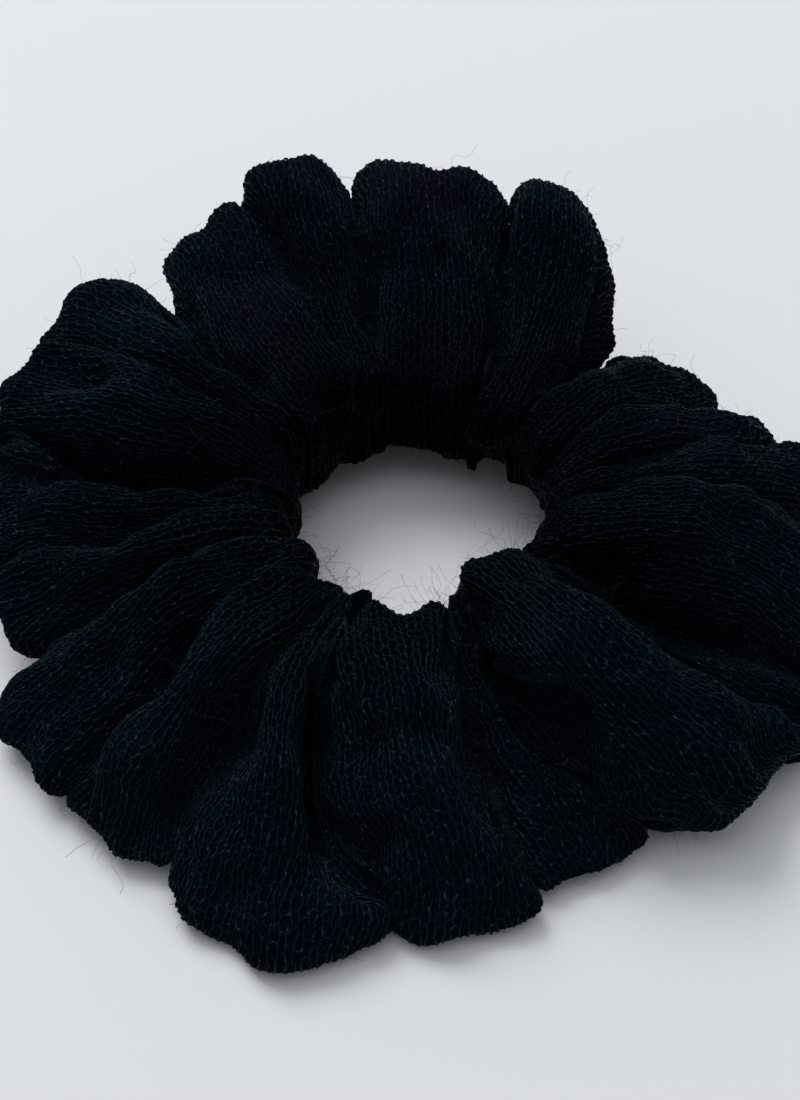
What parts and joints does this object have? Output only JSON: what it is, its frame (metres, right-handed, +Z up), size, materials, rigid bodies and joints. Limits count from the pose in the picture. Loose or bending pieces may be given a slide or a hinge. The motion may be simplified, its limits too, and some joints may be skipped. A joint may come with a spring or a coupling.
{
  "type": "scrunchie",
  "caption": "Soft hair scrunchie: a gathered knit tube in a ring of puffy radial folds, on a hidden elastic loop that stretches open and springs back.",
  "frame": {"origin": "under the middle of the ring's box, on the surface that it lies on", "axes": "+Z up, along the ring's axis; +X to the right and -Y to the front, towards the viewer of the picture"},
  "size_m": [0.1238, 0.1156, 0.0385],
  "materials": {
    "knit": "open machine knit in matt black yarn, slightly fuzzy",
    "elastic": "flat braided elastic, black",
    "thread": "black sewing thread"
  },
  "bodies": {
    "left_half": {"cover_left_half": "knit", "elastic_loop": "elastic", "long_seam_thread_left": "thread", "closing_seam_thread": "thread"},
    "right_half": {"cover_right_half": "knit", "long_seam_thread_right": "thread", "elastic_binding_thread": "thread"}
  },
  "joints": [
    {"name": "stretch", "type": "slide", "parent": "left_half", "child": "right_half", "axis": [1, 0, 0], "range_m": [0, 0.06], "stiffness_N_per_m": 100, "deforming": ["elastic_loop"]}
  ]
}
